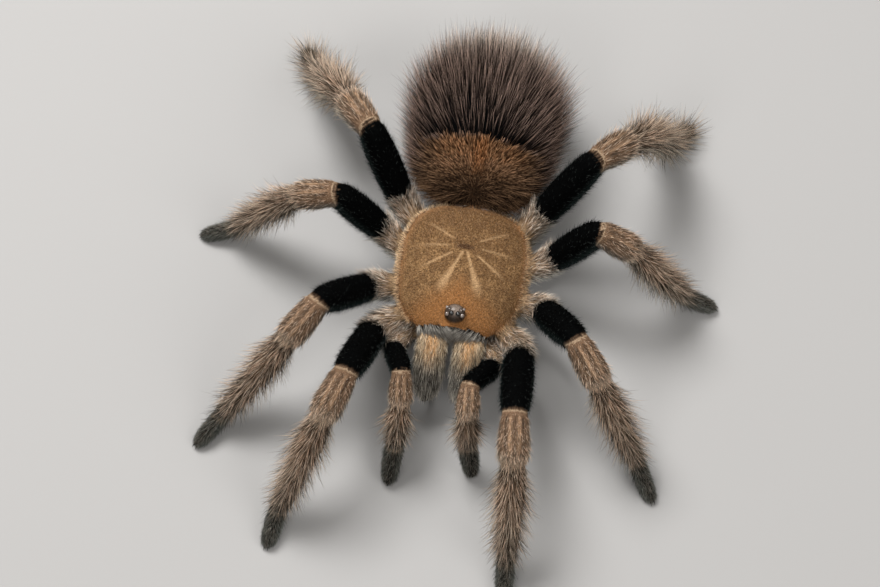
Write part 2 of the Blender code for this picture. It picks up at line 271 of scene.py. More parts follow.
SPINNERETS = (
    ((1.1, 39.4, 8.6, 0.9), (1.7, 43.0, 7.2, 0.75), (2.1, 45.8, 6.9, 0.45), (2.2, 47.0, 7.1, 0.15)),
    ((0.6, 39.0, 6.4, 0.6), (0.8, 40.8, 5.3, 0.5), (0.9, 41.8, 5.0, 0.2)),
)


def from_middle(place):
    """A point of the tables, in millimetres about the head, as a place in the frame."""
    return (np.asarray(place, float) + MIDDLE) * MM


def rounded_square(x, y, half):
    """Spreads a circle's points over a square with rounded corners."""
    power = SHIELD_SQUARENESS
    flat = np.hypot(x, y) + 1e-9
    across, along = (abs(axis / flat) ** (2 / power) * np.sign(axis) for axis in (x, y))
    return across * flat * half[0], along * flat * half[1]


def groove_field(x, y):
    """How deep the shield's pit and grooves are at each point, from 0 to 1."""
    across, along = abs(x - PIT_PLACE[0]), PIT_PLACE[1] - y
    depth = np.zeros_like(across)
    for angle in np.radians(GROOVE_ANGLES):
        reach = across * np.sin(angle) + along * np.cos(angle)
        off = across * np.cos(angle) - along * np.sin(angle)
        line = np.exp(-((off / GROOVE_WIDTH) ** 2)) * np.clip(reach / 1.5, 0, 1)
        depth = np.maximum(depth, line * np.clip((8.5 - reach) / 2.5, 0, 1))
    return depth


def swell(x, y, place, spread):
    """A soft round rise, 1 at its middle."""
    return np.exp(-(((x - place[0]) / spread[0]) ** 2) - ((y - place[1]) / spread[1]) ** 2)


def shield_place(ball):
    x, y = rounded_square(ball[:, 0], ball[:, 1], SHIELD_HALF)
    x *= 1 - SHIELD_FRONT_TAPER * np.maximum(0, -y / SHIELD_HALF[1]) ** 1.5
    rim = SHIELD_RIM_HEIGHT + SHIELD_RIM_LIFT * (y / SHIELD_HALF[1]) ** 2
    y = np.maximum(y + SHIELD_CENTRE_Y, SHIELD_FRONT_EDGE)
    brow = swell(x, y, BROW_PLACE, BROW_SPREAD) * BROW_RISE
    pit = swell(x, y, PIT_PLACE, PIT_SPREAD) * PIT_DEPTH
    rise = ball[:, 2]
    upper = rise * (SHIELD_DOME + brow - pit - GROOVE_DEPTH * groove_field(x, y))
    return np.stack([x, y, rim + np.where(rise < 0, SHIELD_UNDERSIDE * rise, upper)], 1)


def sternum_place(ball):
    x, y = rounded_square(ball[:, 0], ball[:, 1], STERNUM_HALF)
    return np.stack([x, y, ball[:, 2] * STERNUM_HALF[2]], 1) + STERNUM_PLACE


def abdomen_place(ball):
    x, y, z = (ball * ABDOMEN_HALF + ABDOMEN_PLACE).T
    front = np.maximum(0, -ball[:, 1])
    broad = ABDOMEN_FRONT_BREADTH * front**4 + ABDOMEN_SHOULDER * np.minimum(front / 0.7, 1) ** 2
    return np.stack([x * (1 + ABDOMEN_TAPER * ball[:, 1] + broad), y, z], 1)


def shaped_ball(name, shape, segments, ring_count):
    bpy.ops.mesh.primitive_uv_sphere_add(segments=segments, ring_count=ring_count, radius=1)
    piece = bpy.context.object
    piece.name = name
    ball = read_rows(piece.data.vertices, "co")
    piece.data.vertices.foreach_set("co", from_middle(shape(ball)).ravel())
    piece.data.update()
    bpy.ops.object.select_all(action="DESELECT")
    return piece


def body_line(rows, mirror=1):
    """A centre line through rows of x, y, z and radius, smoothed between them."""
    rows = np.array(rows) * (mirror, 1, 1, 1)
    steps = np.arange(len(rows))
    fine = np.linspace(0, len(rows) - 1, 8 * len(rows))
    smooth = np.stack([np.interp(fine, steps, column) for column in rows.T], 1)
    for _ in range(3):
        smooth[1:-1] = (smooth[:-2] + 2 * smooth[1:-1] + smooth[2:]) / 4
    return framed(from_middle(smooth[:, :3]), fine / fine[-1], smooth[:, 3] * MM)


balls = {"shield": shaped_ball("shield", shield_place, 96, 56),
         "sternum": shaped_ball("sternum", sternum_place, 40, 20),
         "abdomen": shaped_ball("abdomen", abdomen_place, 72, 40)}
for side, sign in SIDES.items():
    lines[f"jaw_{side}"] = body_line(JAW_PATH, sign) | {"squareness": JAW_SQUARENESS}
    for row, word in zip(SPINNERETS, ("spinneret", "small_spinneret")):
        lines[f"{word}_{side}"] = body_line(row, sign)
lines["waist"] = body_line(WAIST_PATH)
flesh += balls.values()
flesh += [tube(name, line) for name, line in lines.items()
          if name.startswith(("jaw", "spinneret", "small", "waist"))]


# ---------------------------------------------------------------- one skin
# The hide is one closed skin over head, limbs and abdomen. It is fused from the bare forms,
# then eased where they meet. Every point keeps which part it is on, its place along that
# part, and the way the hairs lie there, which the markings and the coat both read.
SKIN_VOXEL = 0.4
ZONES = {"limb": 0, "head": 1, "abdomen": 2, "jaw": 3}
MOUND_PLACE = np.array([0.0, -7.6, 15.0])
MOUND_HALF = np.array([1.6, 1.38, 1.3])
MOUND_REACH = 2.7
MOUND_DEPTH = 3
MOUND_FOOT = -1.5
MOUND_BLEND = 0.18
SEAT_RIM_HEIGHT, SEAT_RIM_OFF, SEAT_RIM_WIDTH = 0.04, 0.08, 0.09
EYE_RIM = 0.14
EYE_NAMES = [f"eye_{row}_{side}" for row in
             ("front_middle", "front_outer", "rear_outer", "rear_middle") for side in SIDES]
LIE_FOCUS = (0.0, 14.5, 14.0)

samples = []
for name, line in lines.items():
    for index, circle in enumerate(rings(line, 10)):
        samples += [(point, name, index) for point in circle]
for name, piece in balls.items():
    samples += [(np.array(vertex.co), name, 0) for vertex in piece.data.vertices]


def join(pieces, name):
    bpy.ops.object.select_all(action="DESELECT")
    for piece in pieces:
        piece.select_set(True)
    bpy.context.view_layer.objects.active = pieces[0]
    bpy.ops.object.join()
    pieces[0].name = name
    return pieces[0]


skin = join(flesh, "skin")
remesh = skin.modifiers.new("fuse", "REMESH")
remesh.mode = "VOXEL"
remesh.voxel_size = SKIN_VOXEL * MM
bpy.ops.object.modifier_apply(modifier="fuse")
bpy.ops.object.mode_set(mode="EDIT")
bpy.ops.mesh.select_all(action="SELECT")
bpy.ops.mesh.vertices_smooth(factor=0.6, repeat=4)

# The eye mound is raised from the skin with finer faces, with a shallow seat for each eye.
bpy.ops.mesh.select_all(action="DESELECT")
bpy.ops.object.mode_set(mode="OBJECT")
mound = from_middle(MOUND_PLACE)
for polygon in skin.data.polygons:
    offset = np.array(polygon.center) - mound
    polygon.select = bool(math.hypot(*offset[:2]) < MOUND_REACH * MM
                          and offset[2] > -MOUND_DEPTH * MM)
bpy.ops.object.mode_set(mode="EDIT")
bpy.ops.mesh.subdivide(number_cuts=3, smoothness=0.3)
bpy.ops.object.mode_set(mode="OBJECT")
places = read_rows(skin.data.vertices, "co")
offset = (places - mound) / MM
near = (np.hypot(*offset[:, :2].T) < MOUND_REACH) & (offset[:, 2] > -MOUND_DEPTH)
ground = offset[near]
spread = ((ground / MOUND_HALF)[:, :2] ** 2).sum(1)
dome = np.where(spread < 1, MOUND_HALF[2] * np.sqrt(np.maximum(0, 1 - spread)), MOUND_FOOT)
lifted = ground[:, 2] + np.logaddexp(0, (dome - ground[:, 2]) / MOUND_BLEND) * MOUND_BLEND
eyes = []
for name in EYE_NAMES:
    low, high = (np.array(corner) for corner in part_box(name))
    eyes.append(((low + high) / 2, (high - low)[2] / 2))
    centre, radius = (eyes[-1][0] - mound) / MM, eyes[-1][1] / MM
    away = np.hypot(*(ground[:, :2] - centre[:2]).T)
    lifted += SEAT_RIM_HEIGHT * np.exp(-(((away - radius - SEAT_RIM_OFF) / SEAT_RIM_WIDTH) ** 2))
    lifted = np.where(away < radius * 0.95, np.minimum(lifted, centre[2]), lifted)
places[near, 2] = mound[2] + lifted * MM
skin_rim = np.zeros(len(places))
for centre, radius in eyes:
    away = np.linalg.norm(places - centre, axis=1) - radius
    skin_rim = np.maximum(skin_rim, np.clip(1.3 - away / EYE_RIM / MM, 0, 1))
places[:, 2] = np.maximum(places[:, 2], 0.0)
skin.data.vertices.foreach_set("co", places.ravel())
skin.data.update()
bpy.ops.object.shade_smooth()

tree = KDTree(len(samples))
for index, (point, _, _) in enumerate(samples):
    tree.insert(point, index)
tree.balance()
owners = [samples[tree.find(point)[1]] for point in places]
skin_part = np.array([name for _, name, _ in owners])
skin_station = np.array([station for _, _, station in owners])
skin_zone = np.zeros(len(places), int)
skin_spot = np.zeros((len(places), 3))
skin_lie = np.zeros((len(places), 3))


def limb_place(name, place):
    """Puts palps on the legs' scale, and lets the last pair's long shin hair run to the toes."""
    if name.startswith("palp"):
        return np.interp(place, (0, 2.05, 3.0, 3.7, 4.1, 5), (0, 2.05, 3.05, 4.55, 5.05, 6))
    if name.startswith("leg_4"):
        return np.interp(place, (0, 4, 5.8, 6), (0, 4, 4.65, 4.85))
    return place


for name, line in lines.items():
    own = np.flatnonzero(skin_part == name)
    at = skin_station[own]
    offset = places[own] - line["centre"][at]
    forward = (offset * line["ahead"][at]).sum(1)
    pace = np.gradient(line["place"])[at] / (LINE_SPACING * MM)
    place = line["place"][at] + (forward * pace if name.startswith(("leg", "palp")) else 0)
    round_top = (offset * line["top"][at]).sum(1)
    round_side = (offset * line["side"][at]).sum(1)
    wide = np.hypot(round_top, round_side) + 1e-9
    skin_spot[own] = np.stack([limb_place(name, place), round_side / wide, round_top / wide], 1)
    skin_lie[own] = line["ahead"][at]
    skin_zone[own] = ZONES["jaw"] if name.startswith("jaw") else ZONES["limb"]
in_head = np.isin(skin_part, ("shield", "sternum"))
skin_zone[in_head] = ZONES["head"]
from_head = places / MM - MIDDLE
SHIELD_PLACE = (0.0, SHIELD_CENTRE_Y, SHIELD_RIM_HEIGHT)
SHIELD_SIZE = np.array((*SHIELD_HALF, SHIELD_DOME))
skin_spot[in_head] = (from_head[in_head] - SHIELD_PLACE) / SHIELD_SIZE
skin_lie[in_head] = (from_head[in_head] - (*PIT_PLACE, 0)) * (1, 1, 0)
spinnerets = [name for name in lines if "spinneret" in name]
rear = np.isin(skin_part, ["abdomen", "waist", *spinnerets])
skin_zone[rear] = ZONES["abdomen"]
skin_spot[rear] = (from_head[rear] - ABDOMEN_PLACE) / ABDOMEN_HALF
on_ball = skin_part == "abdomen"
skin_lie[on_ball] = from_head[on_ball] - LIE_FOCUS


def write_attribute(mesh, name, values):
    kind, key = ("FLOAT_VECTOR", "vector") if values.ndim == 2 else ("FLOAT", "value")
    mesh.attributes.new(name, kind, "POINT").data.foreach_set(key, values.ravel())


masks = np.stack([skin_zone == ZONES[word] for word in ("head", "abdomen", "jaw")], 1)
for name, values in (("spot", skin_spot), ("zone", masks.astype(float)), ("eye_rim", skin_rim)):
    write_attribute(skin.data, name, values)


# The skin's own finish is dark hide under short velvet, marked like the coat that grows on it.
# Colours are 0-255 display values, and masks run from 0 to 1. Each helper adds its nodes to
# the tree that its wires come from.
def paint(red, green, blue):
    """A display colour as the shader's linear one."""
    return (*(((value / 255 + 0.055) / 1.055) ** 2.4 for value in (red, green, blue)), 1.0)


def is_wire(source):
    return isinstance(source, bpy.types.NodeSocket)


def add(kind, inputs, tree=None, **settings):
    """A node with its settings made and its inputs filled or linked."""
    tree = tree or next(filter(is_wire, inputs.values())).id_data
    node = tree.nodes.new(f"ShaderNode{kind}")
    for name, setting in settings.items():
        setattr(node, name, setting)
    for key, source in inputs.items():
        if is_wire(source):
            tree.links.new(source, node.inputs[key])
        else:
            node.inputs[key].default_value = source
    return node


def link(wire, target):
    wire.id_data.links.new(wire, target)


def calculate(operation, *values):
    return add("Math", dict(enumerate(values)), operation=operation).outputs[0]


plus, minus, divided, largest, raised, unsigned, scaled_plus = (
    partial(calculate, word) for word in
    ("ADD", "SUBTRACT", "DIVIDE", "MAXIMUM", "POWER", "ABSOLUTE", "MULTIPLY_ADD"))


def times(*values):
    """The product of values, which for masks is where all of them are."""
    return reduce(partial(calculate, "MULTIPLY"), values)


def step(value, low, high, bottom=0.0, top=1.0):
    """Eases from bottom to top as the value goes from low to high."""
    return add("MapRange",
               {"Value": value, "From Min": low, "From Max": high, "To Min": bottom, "To Max": top},
               interpolation_type="SMOOTHSTEP").outputs[0]


def fade(value, low, high, top=1.0):
    """Eases from top down to nothing as the value goes from low to high."""
    return step(value, low, high, top, 0.0)


def band(value, centre, half_width):
    """A soft stripe where the value is close to the centre."""
    return fade(unsigned(minus(value, centre)), half_width * 0.35, half_width)


def blend(factor, under, over, kind="MIX"):
    under, over = (paint(*colour) if isinstance(colour, tuple) else colour
                   for colour in (under, over))
    return add("Mix", {0: factor, 6: under, 7: over}, data_type="RGBA",
               blend_type=kind).outputs[2]


def shaded(colour, shade):
    """A colour made darker or lighter by one value."""
    grey = add("CombineColor", {0: shade, 1: shade, 2: shade}).outputs[0]
    return blend(1.0, colour, grey, "MULTIPLY")


def ramp(factor, stops):
    """Colours in order along a value, each row its place and the colour there."""
    node = add("ValToRGB", {0: factor})
    points = node.color_ramp.elements
    while len(points) < len(stops):
        points.new(0.5)
    for point, (position, *colour) in zip(points, stops):
        point.position = position
        point.color = paint(*colour)
    return node.outputs[0]


def speckle(place, scale, detail=2.0):
    return add("TexNoise",
               {"Vector": place, "Scale": scale, "Detail": detail}).outputs["Fac"]


def arrow(operation, *values, output="Vector"):
    """A sum on whole vectors."""
    inputs = {key: value if is_wire(value) else tuple(value) for key, value in enumerate(values)}
    return add("VectorMath", inputs, operation=operation).outputs[output]


def axes_of(vector):
    return add("SeparateXYZ", {0: vector}).outputs


SOCKETS = {"Colour": "NodeSocketColor", "Tip": "NodeSocketColor", "Bare": "NodeSocketFloat",
           "Spot": "NodeSocketVector", "Zone": "NodeSocketVector"}


def new_group(name, taken=("Spot",), given=("Colour", "Tip")):
    """A group of nodes that turns a spot on the animal into the hide's and the tips' colours."""
    group = bpy.data.node_groups.new(name, "ShaderNodeTree")
    for direction, labels in (("INPUT", taken), ("OUTPUT", given)):
        for label in labels:
            group.interface.new_socket(label, in_out=direction, socket_type=SOCKETS[label])
    return (group, group.nodes.new("NodeGroupInput").outputs,
            group.nodes.new("NodeGroupOutput").inputs)


# Limbs: black thighs, pale rings at the knees, striped knees, grey-brown shins and dark feet.
# The tables give colours along a limb, as a share of its six lengths. The sides are paler and
# greyer than the top. On the black thighs this greenish grey is painted sheen, and on the other
# lengths it is partly the hair's own grey and partly painted sheen.
LIMB_LENGTHS = 6.0
LIMB_TOP = (
    (0.0, 146, 124, 98), (0.12, 156, 128, 98), (0.165, 134, 117, 96), (0.178, 4, 5, 5),
    (0.33, 4, 5, 5), (0.338, 126, 100, 79), (0.35, 122, 96, 75), (0.47, 128, 104, 83),
    (0.492, 180, 164, 144), (0.503, 52, 41, 34), (0.517, 68, 54, 43), (0.545, 98, 77, 59),
    (0.652, 98, 79, 62), (0.664, 134, 116, 97), (0.672, 52, 42, 34), (0.7, 84, 69, 56),
    (0.765, 88, 76, 63), (0.795, 52, 49, 42), (0.85, 34, 33, 28), (1.0, 30, 28, 24),
)
# Side colours: on the thighs painted sheen, elsewhere partly the hair's grey and partly painted
# sheen.
LIMB_SIDE = (
    (0.0, 88, 90, 90), (0.12, 104, 102, 96), (0.165, 104, 104, 98), (0.178, 24, 32, 31),
    (0.326, 27, 35, 34), (0.336, 112, 100, 88), (0.36, 110, 100, 90), (0.49, 122, 114, 104),
    (0.503, 50, 43, 37), (0.55, 76, 66, 56), (0.65, 82, 71, 61), (0.668, 52, 45, 39),
    (0.7, 74, 64, 54), (0.765, 80, 72, 62), (0.8, 82, 82, 75), (1.0, 92, 92, 85),
)
LIMB_TIPS = (
    (0.0, 226, 216, 202), (0.165, 226, 214, 198), (0.18, 70, 76, 76), (0.328, 88, 92, 88),
    (0.34, 222, 201, 177), (0.48, 212, 190, 167), (0.6, 199, 180, 159),
    (0.76, 188, 173, 155), (0.81, 130, 127, 118), (1.0, 148, 146, 137),
)
MARK_LEAD = 0.09
MARK_RAGGED = 0.07
RINGS = ((2.03, 0.02, 0.4), (2.97, 0.05, 0.6), (4.98, 0.06, 0.4))
limb_marks, given, made = new_group("limb_marks")
axes = axes_of(given["Spot"])
streak = speckle(arrow("MULTIPLY", given["Spot"], (1.5, 9, 9)), 1.0, 3.0)
rough = speckle(arrow("MULTIPLY", given["Spot"], (4, 4, 4)), 2.5)
ragged = times(minus(rough, 0.5), MARK_RAGGED)
place = minus(plus(axes[0], ragged), step(axes[2], -0.6, 1.0, 0.0, MARK_LEAD))
share = divided(place, LIMB_LENGTHS)
on_foot = step(place, 4.7, 5.0)
# Top against sides, with more of the paler side colour on the feet; the sides carry painted sheen
# in part.
top_mask = step(minus(axes[2], times(on_foot, 0.55)), -0.15, 0.5)
colour = blend(top_mask, ramp(share, LIMB_SIDE), ramp(share, LIMB_TOP))
on_knee = times(step(place, 2.08, 2.2), fade(place, 2.75, 2.95), top_mask)
on_shin = times(step(place, 3.05, 3.3), fade(place, 3.9, 4.5), top_mask)
striped = largest(on_knee, times(on_shin, 0.6))
off_middle = unsigned(axes[1])
pale_line = times(striped, band(off_middle, 0.31, 0.15), step(streak, 0.3, 0.6), 0.8)
dark_line = largest(band(off_middle, 0.02, 0.13), band(off_middle, 0.58, 0.14))
dark_line = times(striped, dark_line, step(streak, 0.65, 0.35), 0.85)
colour = blend(dark_line, blend(pale_line, colour, (184, 150, 119)), (54, 42, 35))
ringed = reduce(largest, [times(band(place, at, half), strength) for at, half, strength in RINGS])
colour = blend(times(ringed, step(axes[2], -0.4, 0.2)), colour, (212, 186, 154))
link(colour, made["Colour"])
tip = ramp(share, LIMB_TIPS)
# The side tips are cooled toward blue-grey, partly as painted sheen.
link(blend(top_mask, blend(1.0, tip, (232, 244, 250), "MULTIPLY"), tip), made["Tip"])

# Head: golden-brown velvet, mottled, orange in front and round the rim, with pale rays. Each
# ray has its start, end, width, spread and strength. The dark patch round the middle pit is
# painted shade of the pit.
RAYS = ((0.5, 10.2, 0.26, 2.6, 1.0), (2.0, 9.0, 0.2, 1.4, 0.8),
        (2.2, 8.4, 0.2, 1.4, 0.6), (2.0, 8.4, 0.2, 1.4, 0.65))
head_marks, given, made = new_group("head_marks", given=("Colour", "Tip", "Bare"))
axes = axes_of(given["Spot"])
along = scaled_plus(axes[1], SHIELD_HALF[1], SHIELD_CENTRE_Y)
forward = minus(PIT_PLACE[1], along)
beside = unsigned(times(axes[0], SHIELD_HALF[0]))
point = add("CombineXYZ", {0: beside, 1: forward}).outputs[0]
mottle = speckle(given["Spot"], 34.0, 6.0)
grain = speckle(given["Spot"], 120.0, 3.0)
clouds = speckle(given["Spot"], 7.0, 2.0)
rays = []
for angle, (start, end, width, spread, strength) in zip(np.radians(GROOVE_ANGLES), RAYS):
    reach = arrow("DOT_PRODUCT", point, (math.sin(angle), math.cos(angle), 0), output="Value")
    off = arrow("DOT_PRODUCT", point, (math.cos(angle), -math.sin(angle), 0), output="Value")
    wide = times(step(reach, 2.5, 9.0, 0.8, spread), width)
    rays.append(times(fade(divided(unsigned(off), wide), 0.1, 1.9), step(reach, start, start + 0.8),
                      fade(reach, end - 3.4, end), strength))
rim = plus(*(raised(unsigned(axis), 3.2) for axis in axes[:2]))
ahead = scaled_plus(beside, -0.75, forward)
front = step(scaled_plus(mottle, 4.0, ahead), 5.5, 12.0)
pit_off = arrow("LENGTH", arrow("MULTIPLY", point, (0.75, 2.2, 1.0)), output="Value")
under = fade(axes[2], -0.28, -0.1)
colour = blend(step(mottle, 0.36, 0.64), (106, 78, 50), (160, 124, 85))
for mask, shade in ((fade(forward, -7.0, 2.0, 0.6), (104, 74, 46)),
                    (step(clouds, 0.4, 0.62, 0.0, 0.5), (98, 70, 46)),
                    (step(rim, 0.55, 1.0, 0.0, 0.75), (184, 134, 90)),
                    (times(front, 0.75), (164, 111, 64)),
                    (times(reduce(largest, rays), 0.8), (202, 165, 122)),
                    # The dark patch round the middle pit is painted shade of the pit.
                    (fade(pit_off, 0.5, 1.5, 0.8), (66, 44, 32)),
                    (step(grain, 0.45, 0.7, 0.0, 0.32), (76, 53, 34)),
                    (under, (58, 54, 52))):
    colour = blend(mask, colour, shade)
mound_off = arrow("SUBTRACT", given["Spot"], (MOUND_PLACE - SHIELD_PLACE) / SHIELD_SIZE)
mound_off = arrow("MULTIPLY", mound_off, SHIELD_SIZE / MOUND_HALF * (1, 1, 0.6))
mound_off = arrow("LENGTH", mound_off, output="Value")
bare = fade(mound_off, 0.98, 1.18)
# The bare mound is pale on top and darkens toward its foot, a painted shadow round its base.
mound_and_painted_shadow = blend(step(mound_off, 0.6, 1.05), (136, 120, 108), (52, 40, 32))
colour = blend(bare, colour, mound_and_painted_shadow)
link(colour, made["Colour"])
tip = blend(step(rim, 0.6, 1.0, 0.35, 0.85), colour, (236, 206, 166))
link(blend(under, tip, (150, 140, 128)), made["Tip"])
link(bare, made["Bare"])

# Abdomen: black velvet with a rusty patch on its front half, and grey-brown low sides, partly the
# hair's colour and partly painted light on the flanks.
PATCH_EDGE = -0.5
PATCH_BULGE = 0.03
PATCH_HALF_WIDTH = 0.74
PATCH_FALL = (-1.2, -0.48)
RUST = ((0.0, 70, 52, 38), (0.25, 122, 91, 66), (0.5, 168, 128, 96),
        (0.8, 164, 118, 80), (1.0, 148, 104, 70))
abdomen_marks, given, made = new_group("abdomen_marks")
axes = axes_of(given["Spot"])
bulge = times(axes[0], axes[0], PATCH_BULGE)
ragged = times(minus(speckle(given["Spot"], 9.0, 3.0), 0.5), 0.12)
reach = plus(plus(axes[1], bulge), ragged)
height = plus(axes[2], largest(scaled_plus(axes[1], *PATCH_FALL), 0.0))
beside = unsigned(axes[0])
patch = times(fade(reach, PATCH_EDGE - 0.05, PATCH_EDGE + 0.03),
              fade(beside, PATCH_HALF_WIDTH - 0.1, PATCH_HALF_WIDTH + 0.08),
              step(height, -0.1, 0.25))
rust = ramp(step(reach, -0.95, PATCH_EDGE), RUST)
streak = times(fade(beside, 0.02, 0.14, 0.6), step(reach, -0.88, -0.7))
rust = blend(streak, rust, (190, 124, 72))
rust = blend(step(beside, 0.35, 0.74), rust, (70, 54, 43))
# The grey-brown of the low sides is partly the hair's colour and partly painted light on the
# flanks.
low = fade(height, -0.1, 0.35)
link(blend(patch, blend(low, (8, 8, 8), (54, 52, 49)), rust), made["Colour"])
tip = blend(step(axes[1], 0.1, 0.9), (188, 158, 142), (236, 216, 198))
# The low sides' grey tips are likewise partly painted light.
tip = blend(low, tip, (184, 184, 178))
link(blend(patch, tip, blend(0.45, rust, (204, 160, 122))), made["Tip"])

# Jaws: golden along the top, beige beside it, grey underneath and at the ends.
jaw_marks, given, made = new_group("jaw_marks")
axes = axes_of(given["Spot"])
golden = times(step(axes[2], 0.1, 0.55), fade(axes[0], 0.38, 0.68))
core = times(fade(unsigned(axes[1]), 0.15, 0.6), golden)
colour = blend(golden, (74, 67, 58), (188, 162, 130))
link(blend(core, colour, (212, 164, 112)), made["Colour"])
link(blend(golden, (236, 228, 214), (248, 230, 200)), made["Tip"])

# The skin wears all four, each in its zone.
marks, given, made = new_group("marks", ("Spot", "Zone"), ("Colour", "Tip", "Bare"))
zones = axes_of(given["Zone"])
layers = [add("Group", {"Spot": given["Spot"]}, node_tree=group).outputs
          for group in (limb_marks, head_marks, abdomen_marks, jaw_marks)]
for output in ("Colour", "Tip"):
    colour = layers[0][output]
    for mask, layer in zip(zones, layers[1:]):
        colour = blend(mask, colour, layer[output])
    link(colour, made[output])
link(times(zones[0], layers[1]["Bare"]), made["Bare"])


def new_material(name, finish):
    """A material with its uniform finish set, its tree and its shader's inputs."""
    material = bpy.data.materials.new(name)
    material.use_nodes = True
    inputs = material.node_tree.nodes["Principled BSDF"].inputs
    for key, value in finish.items():
        inputs[key].default_value = value
    return material, material.node_tree, inputs


def read_attribute(tree, name, output="Fac"):
    return add("Attribute", {}, tree, attribute_name=name).outputs[output]


hide, tree, inputs = new_material("hide", {"Coat Roughness": 0.25, "Specular IOR Level": 0.02})
spot, zone = (read_attribute(tree, name, "Vector") for name in ("spot", "zone"))
worn = add("Group", {"Spot": spot, "Zone": zone}, node_tree=marks).outputs
bare = worn["Bare"]
nap = speckle(add("TexCoord", {}, tree).outputs["Object"], 5200.0, 3.0)
coloured = shaded(worn["Colour"], step(nap, 0.3, 0.7, 0.55, 1.05))
link(blend(read_attribute(tree, "eye_rim"), coloured, (14, 10, 9)), inputs["Base Color"])
link(step(bare, 0.0, 1.0, 0.78, 0.3), inputs["Roughness"])
height = times(nap, step(bare, 0.0, 1.0, 1.0, 0.06))
bump = add("Bump", {"Height": height, "Strength": 0.7, "Distance": 0.00016})
link(bump.outputs[0], inputs["Normal"])
link(times(bare, 0.5), inputs["Coat Weight"])
skin.data.materials.clear()
skin.data.materials.append(hide)
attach(skin, "root")
flesh_nodes = [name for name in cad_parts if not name.startswith(("eye_", "fang_"))]
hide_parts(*flesh_nodes)


# ---------------------------------------------------------------- the coat's making
# Every hair is a thin closed spike of three sides, rooted in the skin and bent along its lie.
# Longer ones draw together into tufts. The hairs of one region are joined in one piece.
HAIR_SIDES = 3
ROOT_SINK = 0.12
LENGTH_VARIES, WIDTH_VARIES, LIFT_VARIES, BEND_VARIES = 0.18, 0.15, 7, 10
TIP_TAPER = 0.75
TUFT_HAIRS = 11
TUFT_CURVE = 1.4
CHART_MARGIN = 0.02
CHART_ROUND = 0.95
CHART_LIMB_LENGTH = 0.155
PATCH_SIZE = 0.003
FLOOR_CLEARANCE = 0.03

skin.data.calc_loop_triangles()
skin_faces = read_rows(skin.data.loop_triangles, "vertices", np.int32)
normals = read_rows(skin.data.vertices, "normal")
corners = places[skin_faces]
sides = corners[:, 1:] - corners[:, :1]
face_area = np.linalg.norm(np.cross(sides[:, 0], sides[:, 1]), axis=1)
face_spot, face_zone, face_part = (
    values[skin_faces[:, 0]] for values in (skin_spot, skin_zone, skin_part))


def pick_roots(density, count, seed):
    """Spreads roots over the skin in proportion to each face's density."""
    rng = np.random.default_rng(seed)
    total = np.cumsum(face_area * density)
    wanted = (np.arange(count) + rng.random(count)) / count * total[-1]
    face = np.minimum(np.searchsorted(total, wanted), len(total) - 1)
    share = rng.random((count, 2))
    share = np.where(share.sum(1, keepdims=True) > 1, 1 - share, share)
    share = np.column_stack([1 - share.sum(1), share])[:, :, None]
    corner = skin_faces[face]
    out = unit((normals[corner] * share).sum(1))
    lie = skin_lie[corner[:, 0]]
    lie = unit(lie - out * (lie * out).sum(1, keepdims=True) + 1e-9)
    return {"root": (places[corner] * share).sum(1), "out": out, "lie": lie,
            "spot": (skin_spot[corner] * share).sum(1), "rng": rng, "count": count}


def unrolled(spot, across):
    turn = np.arctan2(spot[:, 1], spot[:, 2]) / math.tau + 0.5
    return CHART_MARGIN + np.stack([across, CHART_ROUND * turn], 1)


def limb_chart(spot):
    """Unrolls a limb: length across, round up."""
    return unrolled(spot, CHART_LIMB_LENGTH * np.clip(spot[:, 0], 0, 6.1))


def ball_chart(spot):
    """Lays a round body's upper and lower halves out as two discs."""
    ball = unit(spot)
    spread = np.sqrt(1 + abs(ball[:, 2]))
    across = np.where(ball[:, 2] > 0, 0.25, 0.75) + 0.23 * ball[:, 0] / spread
    return np.stack([across, 0.5 + 0.46 * ball[:, 1] / spread], 1)


